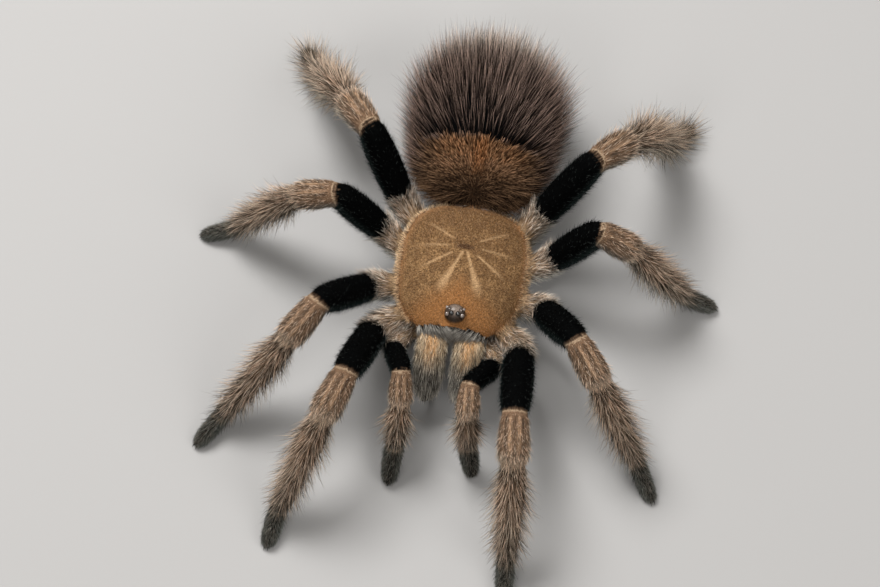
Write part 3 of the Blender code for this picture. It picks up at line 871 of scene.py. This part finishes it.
def hairs(roots, chart, length, width, lift, bend, segments, tint=1.0, clump=0.0, sway=0.25):
    """The mesh of one kind of hair: lengths and widths in millimetres, angles in degrees.

    It rises by lift from its lie and turns by bend on the way. Tint is how far it goes toward
    the tip's colour, clump how much tufts draw together, and sway how far the lies wander.
    """
    rng, count = roots["rng"], roots["count"]
    vary = rng.normal(0, 1, (5, count))
    length = length * MM * np.clip(1 + LENGTH_VARIES * vary[0], 0.5, 1.5)
    width = width * MM * np.clip(1 + WIDTH_VARIES * vary[1], 0.6, 1.4)
    lift = np.radians(lift + LIFT_VARIES * vary[2])
    bend = np.radians(bend + BEND_VARIES * vary[3])
    turn = sway * vary[4]
    across = np.cross(roots["out"], roots["lie"])
    lie = roots["lie"] * np.cos(turn)[:, None] + across * np.sin(turn)[:, None]
    spine = [roots["root"] - roots["out"] * ROOT_SINK * MM]
    heading = []
    for number in range(segments):
        rise = lift + bend * (number + 0.5) / segments
        ahead = lie * np.cos(rise)[:, None] + roots["out"] * np.sin(rise)[:, None]
        heading.append(ahead)
        spine.append(spine[-1] + ahead * (length / segments)[:, None])
    if clump:
        guides = np.arange(0, count, TUFT_HAIRS)
        nest = KDTree(len(guides))
        for guide in guides:
            nest.insert(roots["root"][guide], int(guide))
        nest.balance()
        leader = np.array([nest.find(root)[1] for root in roots["root"]])
        for number in range(1, segments + 1):
            pull = clump * (number / segments) ** TUFT_CURVE
            spine[number] = spine[number] + pull * (spine[number][leader] - spine[number])
        heading = [unit(after - before) for before, after in zip(spine, spine[1:])]
    points, along, patch = [], [], []
    for number in range(segments):
        first = unit(np.cross(roots["out"], heading[number]) + 1e-9)
        second = np.cross(heading[number], first)
        thick = width / 2 * (1 - TIP_TAPER * (number / segments) ** 1.5)
        for corner in range(HAIR_SIDES):
            angle = math.tau * corner / HAIR_SIDES
            away = first * math.cos(angle) + second * math.sin(angle)
            points.append(spine[number] + away * thick[:, None])
            along.append(number / segments)
            patch.append((corner / HAIR_SIDES, number / segments))
    points.append(spine[segments])
    along.append(1.0)
    patch.append((0.5, 1.0))
    points = np.stack(points, 1)
    points[..., 2] = np.maximum(points[..., 2], FLOOR_CLEARANCE * MM)
    faces = [(0, 2, 1)]
    for number in range(segments - 1):
        low = number * HAIR_SIDES
        for corner in range(HAIR_SIDES):
            a, b = low + corner, low + (corner + 1) % HAIR_SIDES
            faces += [(a, b, b + HAIR_SIDES), (a, b + HAIR_SIDES, a + HAIR_SIDES)]
    low = (segments - 1) * HAIR_SIDES
    faces += [(low + k, low + (k + 1) % HAIR_SIDES, low + HAIR_SIDES) for k in range(HAIR_SIDES)]
    size = points.shape[1]
    faces = np.array(faces)[None] + (np.arange(count) * size)[:, None, None]
    tone = rng.random(count)
    patches = np.tile(np.array(patch), (count, 1)) * PATCH_SIZE
    return {"points": points.reshape(-1, 3), "faces": faces.reshape(-1, 3),
            "along": np.tile(along, count) * tint,
            "tone": np.repeat(tone, size), "spot": np.repeat(roots["spot"], size, 0),
            "chart": np.repeat(chart(roots["spot"]), size, 0) + patches}


def grow(density, count, seed, chart, *shape):
    return hairs(pick_roots(density, count, seed), chart, *shape)


def coat(name, slot, material, *kinds):
    """Joins kinds of hair into one piece with its attributes and its bake chart."""
    start = np.cumsum([0] + [len(kind["points"]) for kind in kinds])
    joined = {key: np.concatenate([kind[key] for kind in kinds]) for key in
              ("points", "along", "tone", "spot", "chart")}
    faces = np.concatenate([kind["faces"] + first for kind, first in zip(kinds, start)])
    mesh = bpy.data.meshes.new(name)
    mesh.vertices.add(len(joined["points"]))
    mesh.vertices.foreach_set("co", joined["points"].ravel())
    mesh.loops.add(faces.size)
    mesh.loops.foreach_set("vertex_index", faces.ravel().astype(np.int32))
    mesh.polygons.add(len(faces))
    mesh.polygons.foreach_set("loop_start", np.arange(0, faces.size, 3, dtype=np.int32))
    mesh.update(calc_edges=True)
    mesh.validate()
    mesh.shade_smooth()
    for key in ("along", "tone", "spot"):
        write_attribute(mesh, key, joined[key])
    chart = mesh.uv_layers.new(name="OFBake").data
    chart.foreach_set("uv", joined["chart"][faces.ravel()].ravel())
    mesh.materials.append(material)
    piece = put(name, mesh)
    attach(piece, "root")


ROSY = (244, 200, 178)


def hair_material(name, group, pale_from, dark, light, dark_share, gloss=0.08, rosy=0.0):
    """A hair has its region's colour at the root and its pale tip's, or a rosy one, at the end."""
    finish = {"Roughness": 0.65, "Specular IOR Level": gloss}
    material, tree, inputs = new_material(name, finish)
    spot = read_attribute(tree, "spot", "Vector")
    along, tone = (read_attribute(tree, word) for word in ("along", "tone"))
    worn = add("Group", {"Spot": spot}, node_tree=group).outputs
    reddened = blend(1.0, worn["Tip"], ROSY, "MULTIPLY")
    tip = blend(times(band(tone, 0.72, 0.2), rosy), worn["Tip"], reddened)
    colour = blend(step(along, pale_from, 0.95), worn["Colour"], tip)
    shade = step(tone, dark_share - 0.2, dark_share + 0.2, dark, light)
    link(shaded(colour, shade), inputs["Base Color"])
    return material


# ---------------------------------------------------------------- coat of legs and palps
# Thighs wear close black velvet. Knees, shins and feet wear combed grey-brown hair, with long
# pale guard hairs standing off knees and shins, and a dense dark pad of short hair on the feet.

# A row of a kind of hair gives its seed, where on the limb it starts and ends, its count, how
# much more of it grows on top, its length and whether that is shorter on a palp, then its
# width, lift, bend, segments, tint, clump and sway.
VELVET_HAIRS = (
    (1, 1.02, 1.95, 1800, 0, 0.62, 0, 0.12, 38, 8, 1, 0.2),
    (2, 1.1, 1.92, 900, -0.8, 1.4, 1, 0.045, 36, 4, 2, 1.3, 0.05),
)
COMBED_HAIRS = (
    (0, -0.5, 1.05, 1500, 0, 2.2, 1, 0.085, 22, 6, 2, 1.0, 0.12),
    (9, 1.97, 2.06, 260, 0.9, 0.4, 0, 0.06, 14, 0, 1, 1.0, 0, 0.35),
    (3, 2.05, 3.0, 2300, 0, 1.1, 1, 0.09, 9, 4, 1, 0.45, 0, 0.12),
    (8, 2.84, 3.0, 560, 0, 1.1, 1, 0.08, 30, -12, 1, 1.5, 0, 0.45),
    (4, 3.09, 4.8, 3300, 0, 1.35, 1, 0.085, 13, 4, 1, 0.55),
)
FOOT_HAIRS = (5, 4.75, 6.5, 2600, 0, 0.85, 0, 0.09, 26, 6, 1, 0.95)

# The guard hairs' length, lift and share change along the limb. Each of their two kinds has
# its seed, count, scale and width.
GUARD_LENGTH = ((2.05, 1.0), (2.5, 1.4), (2.95, 1.9), (3.1, 2.2), (3.4, 3.6), (4.0, 3.9),
                (4.6, 3.2), (4.9, 2.3), (5.1, 1.7), (5.5, 1.2), (6, 0.8))
GUARD_LIFT = ((2, 22), (2.5, 30), (3.0, 36), (3.4, 46), (4.6, 48), (5.0, 40), (6, 34))
GUARD_SHARE = ((2.05, 0.5), (2.9, 0.75), (3.1, 1), (4.6, 1), (5.0, 0.6), (5.9, 0.3))
GUARD_HAIRS = ((7, 1500, 1.0, 0.068), (6, 1700, 0.55, 0.06))
HIND_LENGTH = 1.35
PALP_SHARE, PALP_SIZE = 0.5, 0.8
limb_hair = hair_material("limb_hair", limb_marks, 0.1, 0.3, 1.4, 0.42, rosy=0.4)
velvet_hair = hair_material("velvet_hair", limb_marks, 0.3, 0.6, 1.2, 0.5, 0.0)

# The coat's kinds begin and end along the same bent lines as the marks on the hide.
rise = np.clip((face_spot[:, 2] + 0.6) / 1.6, 0, 1)
marked_place = face_spot[:, 0] - MARK_LEAD * rise**2 * (3 - 2 * rise)


def limb_roots(name, low, high, count, seed, crown=0.0, share=((0, 1), (6, 1))):
    """Roots between two markings of a limb, with crown more of them on its upper side."""
    own = (face_part == name) & (marked_place > low) & (marked_place < high)
    thinned = np.interp(marked_place, *np.array(share).T)
    return pick_roots(own * thinned * (1 + crown * np.clip(face_spot[:, 2], -0.9, 1)), count, seed)


def limb_hairs(name, row, full, size, seed):
    own_seed, low, high, count, crown, length, shorter, *shape = row
    roots = limb_roots(name, low, high, int(count * full), seed + own_seed, crown)
    return hairs(roots, limb_chart, length * size**shorter, *shape)


velvet = {side: [] for side in SIDES}
for order, name in enumerate(name for name in lines if name.startswith(("leg", "palp"))):
    full, size = (1.0, 1.0) if name.startswith("leg") else (PALP_SHARE, PALP_SIZE)
    hind = name.startswith("leg_4")
    seed = 100 + order * 10
    velvet[name.split("_")[-1]] += [limb_hairs(name, row, full, size, seed) for row in VELVET_HAIRS]
    rows = COMBED_HAIRS if hind else (*COMBED_HAIRS, FOOT_HAIRS)
    kinds = [limb_hairs(name, row, full, size, seed) for row in rows]
    for own_seed, count, scale, width in GUARD_HAIRS:
        roots = limb_roots(name, 2.04, 5.9, int(count * full), seed + own_seed, 0.2, GUARD_SHARE)
        length, lift = (np.interp(roots["spot"][:, 0], *np.array(table).T)
                        for table in (GUARD_LENGTH, GUARD_LIFT))
        length *= size * scale * (HIND_LENGTH if hind else 1)
        kinds.append(hairs(roots, limb_chart, length, width, lift, -8, 2, 1.4))
    coat(f"coat_{name}", "shin", limb_hair, *kinds)
for side, kinds in velvet.items():
    coat(f"coat_velvet_{side}", "velvet", velvet_hair, *kinds)


# ---------------------------------------------------------------- coat of the head
# The shield's velvet is very short, with a pale fringe over its rim. Grey and black hair lies
# from its front edge over the jaws, combed toward the middle.
head_hair = hair_material("head_hair", head_marks, 0.1, 0.4, 1.5, 0.45)
in_shield = (face_part == "shield") & (face_spot[:, 2] > -0.05)
face_place = places[skin_faces[:, 0]] / MM - MIDDLE
bare_off = np.hypot(*((face_place - MOUND_PLACE)[:, :2] / MOUND_HALF[:2]).T)
rim_reach = (abs(face_spot[:, :2]) ** SHIELD_SQUARENESS).sum(1)
nap = grow(in_shield * (bare_off > 1.1), 17000, 300, ball_chart,
           0.42, 0.085, 34, 10, 1, 0.8, 0, 0.9)
in_rim = in_shield & (rim_reach > 0.76) & (face_spot[:, 2] < 0.4) & (face_spot[:, 1] > -0.8)
roots = pick_roots(in_rim, 3000, 301)
roots["lie"] = unit(roots["spot"] * (*SHIELD_HALF, 0) + (0, 0, -1.0))
roots["out"] = np.tile((0.0, 0.0, 1.0), (roots["count"], 1))
fringe = hairs(roots, ball_chart, 0.95, 0.06, 10, -16, 2, 1.6, 0.1, 0.3)
under = (face_zone == ZONES["head"]) & (face_spot[:, 2] <= -0.05)
belly = grow(under, 3600, 302, ball_chart, 1.3, 0.12, 20, 6, 1, 0.8, 0, 0.4)
coat("coat_head", "head_shield", head_hair, nap, fringe, belly)

FRINGE_TONES = ((0.0, 7, 6, 6), (0.5, 14, 13, 12), (0.58, 120, 116, 108), (1.0, 184, 178, 168))
FRINGE_REACH = 6.4
fringe_hair, tree, inputs = new_material(
    "fringe_hair", {"Roughness": 0.6, "Specular IOR Level": 0.1})
along, tone = (read_attribute(tree, word) for word in ("along", "tone"))
paler = step(along, 0.1, 1.0, 0.0, 0.45)
link(blend(paler, ramp(tone, FRINGE_TONES), (206, 198, 186)), inputs["Base Color"])
brow = (face_place[:, 1] < SHIELD_FRONT_EDGE + 0.3) & (face_place[:, 2] > 11.0)
brow &= abs(face_place[:, 0]) < FRINGE_REACH
brow &= (normals[skin_faces[:, 0]][:, 1] < -0.45) & (face_part == "shield") & (bare_off > 1.15)
roots = pick_roots(brow, 2100, 310)
across = roots["root"][:, 0] / MM - MIDDLE[0]
beside = abs(across)
inward = -np.sign(across) * np.clip(1.2 - beside / 5.5, 0, 0.95) * np.minimum(beside / 0.5, 1)
rising = np.interp(beside, (0, 0.9, 1.7, 4.4, 5.4), (-0.35, -0.15, 0.2, 0.2, -0.2))
roots["lie"] = unit(np.stack([inward, np.full_like(beside, -1), rising], 1))
roots["out"] = unit(np.tile((0.0, -0.3, 1.0), (len(beside), 1)))
length = np.interp(beside, (0, 1.6, 4.5, FRINGE_REACH), (1.5, 2.3, 2.4, 1.4))
brow_fringe = hairs(roots, ball_chart, length, 0.095, 2, -30, 2, 1.0, 0.2, 0.12)
coat("coat_brow", "skin", fringe_hair, brow_fringe)


# ---------------------------------------------------------------- coat of the jaws
# Each jaw has a golden crown and grey shaggy sides and end.
# The longest hairs hang near its end.
JAW_SHOWS_FROM = -9.9
jaw_hair = hair_material("jaw_hair", jaw_marks, 0.05, 0.3, 1.4, 0.45)


def jaw_chart(spot):
    return unrolled(spot, 0.93 * np.clip(spot[:, 0], 0, 1))


for order, side in enumerate(SIDES):
    own = (face_part == f"jaw_{side}") & (face_place[:, 1] < JAW_SHOWS_FROM)
    short = grow(own, 3600, 320 + order, jaw_chart, 1.1, 0.085, 12, 6, 1, 0.6, 0, 0.12)
    roots = pick_roots(own * (0.4 + np.clip(face_spot[:, 0], 0, 1)), 2200, 325 + order)
    length = np.interp(roots["spot"][:, 0], (0, 0.5, 0.8, 1), (1.2, 1.9, 2.6, 2.4))
    long = hairs(roots, jaw_chart, length, 0.07, 14, -6, 2, 1.0, 0.35, 0.09)
    coat(f"coat_jaw_{side}", "jaw", jaw_hair, short, long)


# ---------------------------------------------------------------- coat of the abdomen
# Short black velvet, long pinkish-brown hairs with pale tips that fan out from the front,
# a brush of short rusty hair on the front half, and thin hair on waist and spinnerets.
abdomen_hair = hair_material("abdomen_hair", abdomen_marks, 0.1, 0.15, 1.25, 0.6, 0.03)
on_abdomen = face_part == "abdomen"


def patch_reach(spot):
    return spot[:, 1] + PATCH_BULGE * spot[:, 0] ** 2


beside, back, up = face_spot.T
in_patch = (patch_reach(face_spot) < PATCH_EDGE + 0.01) & (abs(beside) < PATCH_HALF_WIDTH)
in_patch &= up + np.maximum(0, PATCH_FALL[0] * back + PATCH_FALL[1]) > 0.05
patch_middle = in_patch & (abs(beside) < PATCH_HALF_WIDTH - 0.14)
roots = pick_roots(on_abdomen & in_patch, 8500, 340)
length = np.interp(patch_reach(roots["spot"]), (-1, -0.8, PATCH_EDGE), (0.7, 1.1, 1.9))
brush = hairs(roots, ball_chart, length, 0.11, 42, 6, 2, 0.8, 0.35)
off_patch = (face_zone == ZONES["abdomen"]) & ~in_patch
down = grow(off_patch, 9000, 341, ball_chart, 1.2, 0.13, 30, 6, 1, 0.08)
flank = on_abdomen & (back < -0.05) & (up < 0.45) & (up > -0.6)
roots = pick_roots(flank, 3000, 342)
length = np.interp(roots["spot"][:, 1], (-0.9, -0.3), (3.8, 2.6))
fringe = hairs(roots, ball_chart, length, 0.055, 38, -6, 2, 1.3, 0.05, 0.35)
coat("coat_abdomen_short", "abdomen", abdomen_hair, brush, down, fringe)
for order, (side, sign) in enumerate(SIDES.items()):
    half = on_abdomen & ~patch_middle & (beside * sign > 0)
    thinned = np.interp(up, (-1, 0), (0.45, 1)) * np.interp(back, (0, 0.8), (0.8, 1.2))
    roots = pick_roots(half * thinned, 5200, 345 + order)
    length = np.interp(roots["spot"][:, 1], (-0.9, -0.4, 0.2, 1), (2.6, 4.6, 6.4, 6.2))
    length *= np.interp(roots["spot"][:, 2], (-0.8, 0.2), (0.6, 1))
    long = hairs(roots, ball_chart, length, 0.048, 30, 6, 3, 1.0, 0.04, 0.14)
    coat(f"coat_abdomen_long_{side}", "abdomen", abdomen_hair, long)
tail = grow(np.isin(face_part, spinnerets), 1500, 350, ball_chart, 1.2, 0.1, 25, 0, 2, 0.8)
coat("coat_spinnerets", "abdomen", abdomen_hair, tail)


# ---------------------------------------------------------------- eyes and fangs
# Of the eight glossy eyes in the mound the front middle two are black and the rest pearly.
# Two polished black fangs fold under the jaws.
def clouded(name, finish, scale, detail, stops):
    """A glossy material whose colour wanders between stops."""
    material, tree, inputs = new_material(name, finish)
    inside = add("TexCoord", {}, tree).outputs["Object"]
    link(ramp(speckle(inside, scale, detail), stops), inputs["Base Color"])
    return material


LENS = {"Roughness": 0.05, "IOR": 1.9}
black = clouded("black_eye", LENS, 1800.0, 1.0, ((0.3, 3, 3, 4), (0.7, 16, 13, 14)))
pearly = clouded("pearly_eye", LENS, 1800.0, 1.0, ((0.3, 84, 70, 62), (0.7, 146, 130, 120)))
for name in EYE_NAMES:
    low, high = (Vector(corner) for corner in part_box(name))
    bpy.ops.mesh.primitive_uv_sphere_add(segments=32, ring_count=20, radius=(high - low).z / 2,
                                         location=(low + high) / 2)
    eye = bpy.context.object
    eye.name = f"{name}_lens"
    bpy.ops.object.transform_apply(location=True, rotation=True, scale=True)
    bpy.ops.object.shade_smooth()
    eye.data.materials.append(black if "front_middle" in name else pearly)
    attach(eye, "root")
    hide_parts(name)
    eye.select_set(False)

horn = clouded("horn", {"Roughness": 0.18}, 900.0, 3.0, ((0.3, 16, 12, 11), (0.75, 44, 28, 20)))
FANG_PATH = ((2.95, -17.9, 4.3, 0.72), (2.9, -17.5, 3.1, 0.64), (2.85, -16.8, 2.4, 0.54),
             (2.8, -15.7, 1.95, 0.4), (2.72, -14.6, 1.8, 0.22), (2.7, -14.2, 1.8, 0.04))
for side, sign in SIDES.items():
    fang = tube(f"fang_{side}_horn", body_line(FANG_PATH, sign), 20)
    fang.data.shade_smooth()
    fang.data.materials.append(horn)
    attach(fang, "root")
    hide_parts(f"fang_{side}")


# ---------------------------------------------------------------- claws
# Each toe ends in two small hooked claws of the same horn, half hidden by the foot's hair.
# A palp's foot has only one.
CLAW_LENGTH = 0.8
CLAW_RADIUS = 0.1
CLAW_SPREAD = 0.3
for side in SIDES:
    hooks = []
    for name, line in lines.items():
        if not (name.startswith(("leg", "palp")) and name.endswith(side)):
            continue
        toe, ahead, top, across = (line[key][-1] for key in ("centre", "ahead", "top", "side"))
        for beside in ((-1, 1) if name.startswith("leg") else (0,)):
            reach = np.linspace(0, 1, 6)[:, None]
            centre = toe + (ahead * reach * CLAW_LENGTH + across * beside * CLAW_SPREAD
                            + top * (0.35 - 0.5 * reach**2)) * MM
            centre[:, 2] = np.maximum(centre[:, 2], (CLAW_RADIUS + FLOOR_CLEARANCE) * MM)
            way = unit(np.gradient(centre, axis=0))
            radius = CLAW_RADIUS * (1 - 0.85 * reach[:, 0]) * MM
            line = {"centre": centre, "ahead": way, "top": np.tile(across, (6, 1)),
                    "side": np.cross(way, across), "radius": radius}
            hooks.append(tube("claw", line, 8))
    for hook in hooks:
        hook.data.materials.append(horn)
        hook.data.shade_smooth()
    claws = join(hooks, f"claws_{side}")
    claws.select_set(False)
    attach(claws, "root")


# ---------------------------------------------------------------- floor, light and camera
# A pale floor under soft studio light from behind, beside and in front. The camera looks
# down from high in front of the animal, turned and rolled a little.
bpy.ops.mesh.primitive_plane_add(size=3)
floor = bpy.context.object
floor.name = "floor"
paper = new_material("paper", {"Base Color": (0.4, 0.39, 0.38, 1), "Roughness": 0.9})[0]
floor.data.materials.append(paper)

world = bpy.data.worlds.new("studio")
world.use_nodes = True
sky = world.node_tree.nodes["Background"].inputs
sky["Color"].default_value = (1.0, 0.98, 0.95, 1)
sky["Strength"].default_value = 0.27
bpy.context.scene.world = world
bpy.context.scene.view_settings.view_transform = "Standard"
for name, place, size, strength in (("key", (-0.25, 0.25, 0.55), 0.3, 5.2),
                                    ("fill", (0.5, -0.3, 0.5), 0.5, 2.0),
                                    ("front", (-0.2, -0.5, 0.5), 0.25, 1.0)):
    lamp = bpy.data.lights.new(name, "AREA")
    lamp.size = size
    lamp.energy = strength
    light = put(name, lamp)
    light.location = place
    light.rotation_euler = Vector(place).to_track_quat("Z", "Y").to_euler()

CAMERA_AZIMUTH, CAMERA_ELEVATION, CAMERA_ROLL = np.radians((4.0, 63.5, 5.0))
CAMERA_DISTANCE = 430
CAMERA_LENS = 111.35
CAMERA_AIM = (0.0, 0.0, 15.0)
CAMERA_FRAMING = (-3.475, -3.712)
level = np.array([math.cos(CAMERA_AZIMUTH), math.sin(CAMERA_AZIMUTH), 0])
toward = np.array([level[1], -level[0], 0])
back = toward * math.cos(CAMERA_ELEVATION) + (0, 0, math.sin(CAMERA_ELEVATION))
upward = np.cross(back, level)
right = level * math.cos(CAMERA_ROLL) + upward * math.sin(CAMERA_ROLL)
upward = upward * math.cos(CAMERA_ROLL) - level * math.sin(CAMERA_ROLL)
place = from_middle(CAMERA_AIM) + (
    right * CAMERA_FRAMING[0] + upward * CAMERA_FRAMING[1] + back * CAMERA_DISTANCE) * MM
camera = put("camera", bpy.data.cameras.new("camera"))
camera.data.lens = CAMERA_LENS
camera.data.clip_start = 0.01
stance = np.vstack([np.column_stack([right, upward, back, place]), (0, 0, 0, 1)])
camera.matrix_world = Matrix(stance.tolist())
bpy.context.scene.camera = camera
